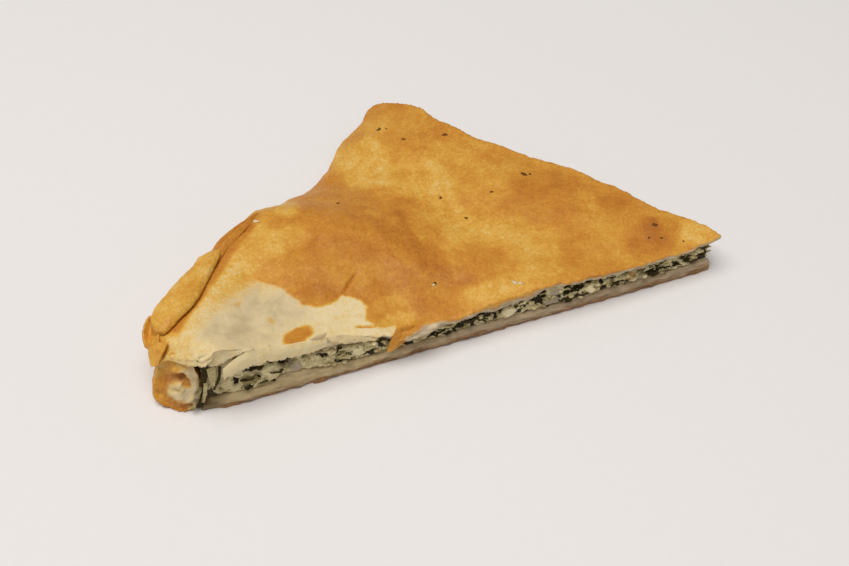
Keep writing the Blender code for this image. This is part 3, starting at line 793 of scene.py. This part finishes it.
sagging = rise(66, 71, x) * fall(80, 84, x) * fall(1, 2.4, y)
split = in_front * sideways * rise(0.5, 1.1, below_edge) * fall(40, 46, x) * rise(-1.5, 0.5, x)
corner = fall(12, 14.5, inward) * fall(1, 8, along)
spots += facing * (ripple * rise(0.3, 0.7, facing[:, 2]))[:, None]
spots[:, :2] += facing[:, :2] * tearing[:, None]
y += 1.3 * split
z -= 1.7 * sagging * np.clip(below_edge / 1.6, 0, 1)
tip = rise(123, 134, x)
spots += np.array((0.5, 0.3, 1)) * tip[:, None]
spots += RIM_DIRECTION * corner[:, None]
sway_right_cut(spots)
swell_rim(spots, 18)
to_end = np.minimum(y, along + 0.8 * wander(spots, 3, 71))
rolled_over = fall(0.3, 4.2, to_end) * fall(-1.5, 3, x)
z -= 1.7 * rolled_over * np.clip((z - underside + 0.2) / 1.8, 0, 1)
proud = rise(0.2, 0.8, -y) * rise(1, 2, x) * fall(38, 41, x)
y += proud * (-0.3 - y)
seen_front = as_seen(spots, 1, 0)
skin_edge = np.interp(seen_front[:, 0], (47, 49.6, 52.9, 56.1, 60.4), (6, 6.7, 8.6, 8.5, 7.4))
bare = rise(-0.3, 0.3, skin_edge - seen_front[:, 1] + 0.4 * wander(spots, 1.4, 72)) * fall(2, 3, y)
bare *= rise(47, 48.5, seen_front[:, 0]) * fall(59, 61, seen_front[:, 0])
cut_side = np.maximum(cut_side, bare)
seen = as_seen(spots, 2, BROWNING_LEVEL)
# The crack is pressed in and painted at the deepest browning, a painted shade inside it.
crack = 0.8 * spot_mask(seen, 39.6, 16.8, 3.4, 0.35, 46, 0.6)
crack = np.maximum(crack, spot_mask(seen_front, 38.1, 14.1, 2.4, 0.3, -20, 0.5))
spots -= facing * (0.8 * crack)[:, None]
set_points(crust, spots)
seen = frayed(frayed(seen, spots, 6, 65, 0.7), spots, 1.6, 67, 0.35)
bake = np.full(len(spots), GOLDEN)
for depth, *oval in BROWNED_PATCHES:
    bake += (depth - bake) * spot_mask(seen, *oval, soft=0.45)
pale = rise(-0.4, 0.6, inside_outline(seen, PALE_OUTLINE))
pale *= fall(14, 29, seen[:, 1] - 0.15 * seen[:, 0])
beside_lip = fall(7, 17, inward) * fall(20, 44, along)
near_corner = fall(1, 8, inward) * fall(3, 11, along)
# Painted shade: a deep-brown band on the lid along the upper fold's inner side.
shade_beside_fold = fall(6.6, 8, inward + 0.07 * (along - 15)) * rise(5, 8, along) * fall(46, 54, along)
orange_spot = spot_mask(seen, 22.5, 4.8, 3.7, 2.3, 8, 0.25)
orange_spot = np.maximum(orange_spot, 0.6 * spot_mask(seen, 18.4, 11.3, 1, 1.2, 0, 0.5))
orange_spot = np.maximum(orange_spot, 0.5 * spot_mask(seen, 12, 19.3, 0.8, 0.8, 0, 0.6))
# Painted shade: the crack and the band beside the upper fold are painted deep brown.
for mask, depth in ((pale, 0.03), (0.9 * beside_lip, 0.27), (near_corner, 0.46), (0.8 * shade_beside_fold, 0.9),
                    (crack, 1), (orange_spot, 0.78)):
    bake += (depth - bake) * mask
ash_and_shade = pale * spot_mask(seen, 15, 15.5, 13, 9, 15, 0.5) * (1 - orange_spot) * (1 - 0.7 * beside_lip)
ash_and_shade = ash_and_shade * (1 + 0.7 * wander(spots, 4, 69) + 0.5 * wander(spots, 1.5, 70))
paint_bake_and_shade(crust, pastry_finish("browned_crust", 0.32), bake, ash_and_shade, cut_side)
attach(crust, "root")
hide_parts("top_pastry")

# Loose sheets: single sheets of the lid that the knife has torn or peeled at the long
# cut. They hang over the filling, pale and floury where they come from inside.
SHEET_THICKNESS = 0.38

# Nets of rows, from a sheet's root to its free edge: places as the eye sees them on the
# long cut, along it and up from the tray, and how far behind the cut they really lie.
TORN_BAND = (
    ((3.5, 13, -1.8), (5.5, 14.6, -1.5), (8, 16.2, -1), (10.5, 17, -0.6), (13, 16.4, -0.4),
     (16.5, 15.6, -0.2), (20.5, 15, -0.2), (25, 14.6, -0.2), (28.5, 13.8, -0.2)),
    ((3.2, 11.2, -2.3), (5.5, 12.6, -2.3), (8, 13.6, -2), (10.5, 13.6, -1.8), (13, 13.1, -1.6),
     (16.5, 12.7, -1.4), (20.5, 12.4, -1.2), (25, 12.4, -1.1), (28.5, 12.2, -0.8)),
    ((3.3, 9.5, -2.3), (5.3, 10.2, -2.4), (8, 11.3, -2.2), (10.5, 11.1, -2), (13, 11.3, -1.8),
     (16.5, 11.3, -1.6), (20.5, 10.3, -1.4), (25, 10.6, -1.3), (28.5, 10.8, -0.9)),
)
SECOND_SHEET = (
    ((-1.6, 19.3, 0.9), (1.5, 19.8, 0.4), (4.5, 19.5, 0.2), (7.5, 18.4, 0.1), (10.8, 17.4, 0.1)),
    ((-0.6, 17.6, 0.5), (1.8, 17.6, -0.2), (4.6, 17.8, -0.5), (7.5, 17.6, -0.6), (11, 17, -0.4)),
    ((0.8, 15.2, 0.1), (2.6, 15, -0.7), (4.8, 15.6, -1), (7.6, 16.4, -1), (11.2, 16.6, -0.7)),
)
MIDDLE_SHEET = (
    ((27.8, 13.9, 0.2), (31, 13.8, 0), (33, 13, 0), (35.2, 12, 0), (38, 10.8, 0), (41, 9.8, 0)),
    ((28, 13.4, -0.1), (31, 12.3, -0.7), (33, 11.5, -0.7), (35.4, 10.7, -0.7), (38, 9.8, -0.6),
     (41, 9, -0.5)),
    ((28.2, 12.9, -0.3), (31, 10.9, -1.1), (33, 10.2, -1.1), (35.5, 9.5, -1), (38, 8.9, -0.9),
     (41, 8.2, -0.8)),
)
CURLED_FLAP = (
    ((24.2, 14.2, -0.2), (26, 13.9, -0.2), (28, 14.4, -0.1)),
    ((24.3, 14.7, -0.3), (26.2, 14.8, -0.4), (28.2, 15.2, -0.2)),
    ((24.8, 15, -0.1), (26.3, 15.5, -0.2), (28.6, 15.7, 0.1)),
)
HANGING_FLAKE = (
    ((45.6, 10.3, -0.6), (47.6, 10.3, -0.5), (50, 9.8, -0.3), (52.6, 9, 0.1)),
    ((44.9, 8.8, -1.1), (46.6, 8.5, -1.2), (48.6, 8, -1), (50.6, 7.5, -0.5)),
    ((43.8, 6, -1.8), (45.2, 5.9, -2), (46.7, 5.5, -1.8), (48.1, 5.2, -1.4)),
    ((43.1, 3.1, -2.5), (43.6, 2.8, -2.6), (44.3, 2.9, -2.5), (45.2, 3.5, -2.2)),
)


def seen_net(net):
    """The net's true places, from how each is seen on the long cut and its depth."""
    def true_place(x, z, depth):
        return EYE + (np.array((x, 0, z)) - EYE) * (depth - EYE[1]) / -EYE[1]

    return [[true_place(*seen) for seen in row] for row in net]


def netted_sheet(name, net, seed, ragged=0.3, thickness=SHEET_THICKNESS, ripple=0.18):
    """A thin sheet through a net of points, rippled, with its last row torn ragged."""
    rows, columns = len(net), len(net[0])

    def place(s, t):
        return Vector(net[round((1 - t) * (rows - 1))][round(s * (columns - 1))])

    sheet = shaped_grid(name, columns - 1, rows - 1, place)
    to_last = points_of(sheet)[:, None] - np.array(net[-1])
    paint(sheet, "free", np.min(np.linalg.norm(to_last, axis=2), axis=1) < 0.01)
    apply_modifier(sheet, "SUBSURF", levels=4, render_levels=4, boundary_smooth="PRESERVE_CORNERS")
    points = points_of(sheet)
    share = np.array([item.value for item in sheet.data.attributes["free"].data])
    tear = ragged * (wander(points, 1.3, seed) + 0.6 * wander(points, 0.5, seed + 0.5))
    points[:, 2] += tear * share**2
    points += facings_of(sheet) * (ripple * wander(points, 1.6, seed + 0.3))[:, None]
    set_points(sheet, points)
    thicken(sheet, thickness)
    return sheet


def finish_sheet(sheet, bake, ash_and_shade, finish):
    uneven = wander(points_of(sheet), 2, 81)
    paint_bake_and_shade(sheet, finish, bake + 0.08 * uneven, ash_and_shade * (1 + 0.3 * uneven))
    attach(sheet, "root")


sheet_dough = pastry_finish("peeled_sheet", 0.3, 0.2)
# Painted shade: the ash share of the second sheet, the middle sheet and the curled flap is their grey-olive
# shade under the lid's edge.
for name, net, seed, ragged, bake, ash_and_shade in (
    ("torn_band", TORN_BAND, 82, 0.8, 0, 0), ("second_sheet", SECOND_SHEET, 83, 0.6, 0, 0.5),
    ("middle_sheet", MIDDLE_SHEET, 84, 0.6, 0.06, 0.7), ("curled_flap", CURLED_FLAP, 85, 0.1, 0.5, 1),
    ("hanging_flake", HANGING_FLAKE, 86, 0.3, 0.62, 0),
):
    finish_sheet(netted_sheet(name, seen_net(net), seed, ragged), bake, ash_and_shade, sheet_dough)

# Folded leaves: beside the rim's cut end some long spinach leaves stand folded in the dark
# opening, from the lid down to the tray, painted olive where lit and nearly black in shade.
# Each is a net like the sheets', with its lightness, 0 to 1, before it: its painted light.
FOLDED_LEAVES = (
    (0, (((-2, 18.2, 1), (-1.4, 15.5, 0.9), (-1.7, 12.6, 0.9), (-2.4, 9.8, 1), (-3.5, 7, 1.3)),
        ((-0.4, 18.1, 0.4), (0.3, 15.5, 0.2), (0, 12.6, 0.2), (-0.8, 9.8, 0.3), (-2.2, 6.8, 0.6)))),
    (0.75, (((-2.6, 9.2, 0.7), (-3.4, 7, 0.8), (-4.3, 4.5, 0.6), (-5.3, 1.9, 0.3)),
        ((-1.7, 9, 0.3), (-2.5, 6.8, 0.3), (-3.5, 4.3, 0.2), (-4.4, 1.8, 0)))),
    (0, (((-1.9, 8.6, 0.8), (-2.5, 6.4, 0.8), (-3.2, 4.2, 0.6), (-4.1, 1.9, 0.4)),
        ((-1.2, 8.4, 0.7), (-1.7, 6.2, 0.7), (-2.3, 4.2, 0.6), (-3, 2, 0.5)))),
    (1, (((-1.5, 9.7, 0.2), (-1.8, 7.5, 0.2), (-2.2, 5.4, 0.4), (-2.7, 3.6, 0.6)),
        ((-0.5, 9.6, -0.4), (-0.8, 7.4, -0.4), (-1.3, 5.4, -0.2), (-1.9, 3.4, 0)))),
    (0, (((-0.9, 7.4, -0.4), (-1.1, 6, -0.4), (-1.6, 4.4, -0.3)),
        ((0.2, 7.6, -0.8), (0.5, 6.2, -0.9), (1.3, 4.6, -0.9)))),
    (1.2, (((-0.2, 14.6, 0), (-0.1, 12.2, -0.2), (0, 10, -0.3), (0.1, 7.8, -0.4)),
        ((1.9, 14.5, -0.5), (1.8, 12, -0.7), (1.4, 9.8, -0.9), (1, 7.6, -0.9)))),
    (0.15, (((2.4, 14.4, -0.5), (2.3, 11.6, -0.8), (1.4, 9.2, -0.9), (0.4, 7, -0.9)),
        ((3.2, 14, -0.6), (2.9, 11, -0.9), (2, 8.6, -1.1), (0.9, 6.5, -1.1)))),
)
folded = []
for number, (lightness, net) in enumerate(FOLDED_LEAVES):
    leaf = netted_sheet("folded_leaf", seen_net(net), 101 + number, 0.5, 0.2, 0.45)
    # Painted light and shade: each leaf's lightness, with some noise.
    paint(leaf, "light", lightness + 0.25 * wander(points_of(leaf), 1.2, 110))
    folded.append(leaf)
folded = join_pieces("folded_leaves", folded)
folded.data.materials.append(spinach_finish)
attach(folded, "root")

# Lip: the folded end of the sheets, turned over onto the lid along the front half of
# the rim like a soft rope, and browned more than the lid beside it. Past its fat part a
# second, narrower fold stands up along the lid's edge, with a chipped end.
LIP_BAKE = 0.5
# The upper fold's deep browning is partly real browning and partly painted shade on its inner face.
UPPER_FOLD_BAKE_AND_SHADE = 0.9

# Stations along the rim: place, the fold's inner edge, its outer edge, height above the lid.
FAT_FOLD = (
    (5.6, 4, 1.2, 1.2), (7, 5.4, -0.2, 1.7), (8.6, 6.1, -1, 2), (12, 6.6, -1.6, 2.1),
    (15, 6.8, -1.8, 2.2), (19, 6.4, -1.7, 2.2), (23.4, 5.8, -1.5, 2.2), (27.5, 5, -1.1, 2.1),
    (31, 4.3, -1.4, 1.9), (33.4, 3.7, -0.4, 1.6), (36.6, 2.6, 0.2, 0.9),
)
UPPER_FOLD = (
    (31.5, 3.6, 1.4, 0.2), (35, 3.8, 0.4, 1.5), (38.2, 3.9, 0.4, 1.9), (41.2, 3.9, 0.6, 1.8),
    (44.5, 3.4, 0.7, 1.6), (48.2, 2.9, 0.9, 1.3), (51.5, 2.5, 1, 0.9), (54, 2, 1.2, 0.3),
)
FAT_SECTION = (
    (0, -1.6), (-0.04, -0.3), (0.05, 0.45), (0.22, 0.85), (0.5, 1), (0.78, 0.92), (0.95, 0.62),
    (1, 0.3), (0.93, 0.06), (0.6, -0.3), (0.3, -0.9),
)
UPPER_SECTION = (
    (0, -1.4), (-0.05, -0.2), (0.05, 0.75), (0.2, 1), (0.42, 0.8), (0.7, 0.35), (1, 0.05), (0.7, -0.3),
    (0.35, -0.8),
)


def lid_level(along, inward):
    met = crust_shape.ray_cast(beside_rim(along, inward, 40), Vector((0, 0, -1)))[0]
    return 14 if met is None else met.z


def round_section(section, share):
    """A point on a closed smooth line through the section's points."""
    k, t = divmod(share * len(section), 1)
    p0, p1, p2, p3 = (np.array(section[(int(k) + step) % len(section)]) for step in (-1, 0, 1, 2))
    bend = (2 * p0 - 5 * p1 + 4 * p2 - p3) * t**2 + (3 * p1 - p0 - 3 * p2 + p3) * t**3
    return 0.5 * (2 * p1 + (p2 - p0) * t + bend)


def folded_tube(name, stations, section, columns, rows):
    """A closed fold of pastry along the rim, lying on the lid."""
    table = np.array(stations)

    def place(s, t):
        along = table[0, 0] + (table[-1, 0] - table[0, 0]) * s
        inner, outer, high = (float(np.interp(along, table[:, 0], table[:, k])) for k in (1, 2, 3))
        across, up = round_section(section, t % 1)
        inward = outer + (inner - outer) * across
        inner_level = lid_level(along, inner)
        outer_level = min(inner_level - 0.4, lid_level(along, max(0.3, outer)))
        level = inner_level + (outer_level - inner_level) * (1 - min(1, max(0, across * 1.6)))
        lift = high * up if up > 0 else up
        if up > 0.4:
            level = max(level, inner_level - 0.5)
        return beside_rim(along, inward, level + lift)

    tube = shaped_grid(name, columns, rows, place, closed=True)
    apply_modifier(tube, "SUBSURF", levels=1, render_levels=1)
    return tube


def finish_fold(fold, depth, seed):
    spots, facing = points_of(fold), facings_of(fold)
    turned = spots @ np.column_stack((RIM_DIRECTION, RIM_INWARD, (0, 0, 1)))
    folds = 0.25 * wander(turned * (0.3, 1, 1), 2.2, seed)
    folds += 0.12 * wander(turned * (0.6, 1, 1), 0.9, seed + 1)
    spots += facing * folds[:, None]
    set_points(fold, spots)
    # Painted shade: the fold's inner side, facing in and down, is painted deeper brown.
    shaded_inner_side = rise(0.3, 0.8, facing @ RIM_INWARD) * fall(0.2, 0.6, facing[:, 2])
    # Also painted shade and light: creases and down-facing parts deeper brown, up-facing parts paler.
    uneven = 0.1 * wander(spots, 5, seed + 2) - 0.25 * folds - 0.08 * facing[:, 2]
    paint_bake_and_shade(fold, lip_finish, depth + uneven + 0.4 * shaded_inner_side)
    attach(fold, "root")


lip_finish = pastry_finish("browned_and_shaded_lip", 0.3)
fat_fold = folded_tube("folded_lip", FAT_FOLD, FAT_SECTION, 110, 44)
upper_fold = folded_tube("upper_fold", UPPER_FOLD, UPPER_SECTION, 90, 30)
finish_fold(fat_fold, LIP_BAKE, 71)
finish_fold(upper_fold, UPPER_FOLD_BAKE_AND_SHADE, 74)
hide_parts("rim_lip")

# Corner flaps: at the lip's near end the skin of the lid tears into two flaps, one cupped
# outwards like a scoop and one hanging down over the cut end of the rim.
FLAP_TEAR = 0.2
FLAP_THICKNESS = 0.6
SCOOP = (
    ((2.6, 2.4, 15.9), (5, 2.6, 16.4), (7.6, 2.2, 16.6), (10, 1.2, 16.4)),
    ((2.7, 0.6, 14.4), (5.2, 0.4, 14.4), (7.8, 0.2, 14.5), (10.2, -0.2, 14.9)),
    ((2.8, -0.6, 14), (5.2, -1, 13.8), (7.8, -1.2, 14.2), (10.2, -1.4, 14.9)),
    ((3, -1.5, 14.6), (5.2, -2.2, 15.2), (7.8, -2.3, 16), (10.2, -2, 16.4)),
)
HANGING_CORNER = (
    ((3.8, -0.3, 15), (3.6, 2.4, 16.7), (3.6, 5.2, 17.5)),
    ((1.9, -0.3, 14), (1.7, 1.6, 15.4), (1.7, 4, 16.7)),
    ((0.4, 0.1, 13.1), (0.3, 1.5, 14.3), (0.5, 3.2, 15.7)),
    ((-0.5, 0.5, 12.6), (-0.4, 1.4, 12.9), (-0.2, 2.5, 13.9)),
)


def rim_net(net):
    return [[beside_rim(*place) for place in row] for row in net]


for name, net, seed, bake in (("scoop_flap", SCOOP, 91, 0.5), ("corner_flap", HANGING_CORNER, 92, 0.52)):
    flap = netted_sheet(name, rim_net(net), seed, FLAP_TEAR, FLAP_THICKNESS)
    finish_sheet(flap, bake, 0, lip_finish)

# Specks and chips: burnt specks of flour that were baked onto the lid, and pale bits
# lying on it: a crumb of cheese, two flakes of a burst blister, two chips of dry sheet.
BURNT_SPECKS = (
    (65.9, 70.4, 0.55), (71, 64, 0.42), (82.3, 61.8, 0.5), (46, 45.5, 0.5), (71.7, 38, 0.42),
    (85, 35.5, 0.34), (95.8, 39, 0.62), (75, 28.5, 0.36), (119, 9, 0.5), (115.5, 5.3, 0.26),
    (118.3, 4, 0.26), (68, 70, 0.24), (123, 1, 0.22), (59, 9.3, 0.42), (97.4, 38.5, 0.3),
)
# Place on the browning map, size, thickness, seed of the shape, and stretch.
PALE_CHIPS = (
    (58.5, 8.8, 0.5, 0.35, 2, 0.8), (77.4, 2.7, 0.5, 0.1, 4, 1.5), (78.6, 2, 0.45, 0.1, 6, 1.3),
    (22.8, 46.6, 0.55, 0.25, 8, 1.6), (24.2, 46.4, 0.6, 0.3, 10, 1.4),
)
crust_shape = surface_of(crust)


def on_crust(x, y):
    """The crust's surface where the eye sees the browning map's place (x, y)."""
    sight = Vector((x, y, BROWNING_LEVEL)) - Vector(EYE)
    return crust_shape.ray_cast(Vector(EYE), sight.normalized())[:2]


def lie_flat(name, x, y, size, thickness, seed, stretch):
    """A small rough flake lying on the crust."""
    met, facing = on_crust(x, y)
    flake = small_ball(name)
    turn = facing.to_track_quat("Z", "Y") @ Quaternion((0, 0, 1), 0.5 * seed)
    flat = Vector((size * stretch, size, thickness))
    points = [vertex.co / MM for vertex in flake.data.vertices]
    points = [p * (1 + 0.9 * noise.noise(p * 1.3 + Vector((seed, 0, 0)))) for p in points]
    set_points(flake, np.array([met + turn @ (p * flat) for p in points]))
    return flake


specks = join_pieces("burnt_specks", [
    lie_flat("speck", x, y, size, 0.12, 3 * k, 1.5) for k, (x, y, size) in enumerate(BURNT_SPECKS)
])
finish, tree, shader = new_finish("burnt_flour", specular=0.1)
soot = speckle(tree, 0.4)
colour = mixed(tree, soot, (0.085, 0.03, 0.006), (0.2, 0.085, 0.02))
join_finish(tree, shader, colour, rescaled(tree, soot, 0, 1, 0.5, 0.8), soot, 0.1)
specks.data.materials.append(finish)
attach(specks, "root")

chips = join_pieces("pale_chips", [lie_flat("chip", *chip) for chip in PALE_CHIPS])
finish, tree, shader = new_finish("dry_flakes", specular=0.4, softness=0.2)
flour = speckle(tree, 0.5)
colour = mixed(tree, flour, (0.66, 0.45, 0.22), (0.82, 0.66, 0.42))
join_finish(tree, shader, colour, rescaled(tree, flour, 0, 1, 0.5, 0.7), flour, 0.1)
chips.data.materials.append(finish)
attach(chips, "root")

# Table and light: a plain pale sheet of paper on a table, lit by a large soft light above
# and a little to the left, and seen from in front and above, as in a photo studio.
PAPER = (0.8, 0.772, 0.76)
bpy.ops.mesh.primitive_plane_add(size=4, location=(0, 0, 0))
table = bpy.context.object
table.name = "pale_table"
finish, tree, shader = new_finish("pale_paper", specular=0.2)
grain = speckle(tree, 3, 4)
colour = mixed(tree, grain, PAPER, tuple(0.97 * v for v in PAPER))
join_finish(tree, shader, colour, rescaled(tree, grain, 0, 1, 0.7, 0.85), grain, 0.05)
table.data.materials.append(finish)

world = bpy.data.worlds.new("soft_room")
world.use_nodes = True
background = world.node_tree.nodes["Background"].inputs
background["Color"].default_value = (1, 0.99, 0.97, 1)
background["Strength"].default_value = 0.25
bpy.context.scene.world = world
lamp = bpy.data.lights.new("soft_window", "AREA")
lamp.shape = "RECTANGLE"
lamp.size, lamp.size_y = 1.1, 0.9
lamp.energy = 16.8
lamp.color = (1, 0.985, 0.96)
window = new_object("soft_window", lamp)
window.location = (-0.3, -0.14, 1.3)
window.rotation_euler = Vector((0.3, 0.14, -1.3)).to_track_quat("-Z", "Y").to_euler()

camera = bpy.data.cameras.new("photo_view")
camera.lens = 55.43
camera.sensor_width = 36
camera.clip_start = 0.01
view = new_object("photo_view", camera)
view.location = (EYE + LONG_CUT_LEFT_END) * MM
straight = Vector((0.2503, 0.6552, -0.7128)).to_track_quat("-Z", "Y")
view.rotation_mode = "QUATERNION"
view.rotation_quaternion = straight @ Quaternion((0, 0, 1), math.radians(0.11))
bpy.context.scene.camera = view
bpy.context.scene.view_settings.view_transform = "Standard"
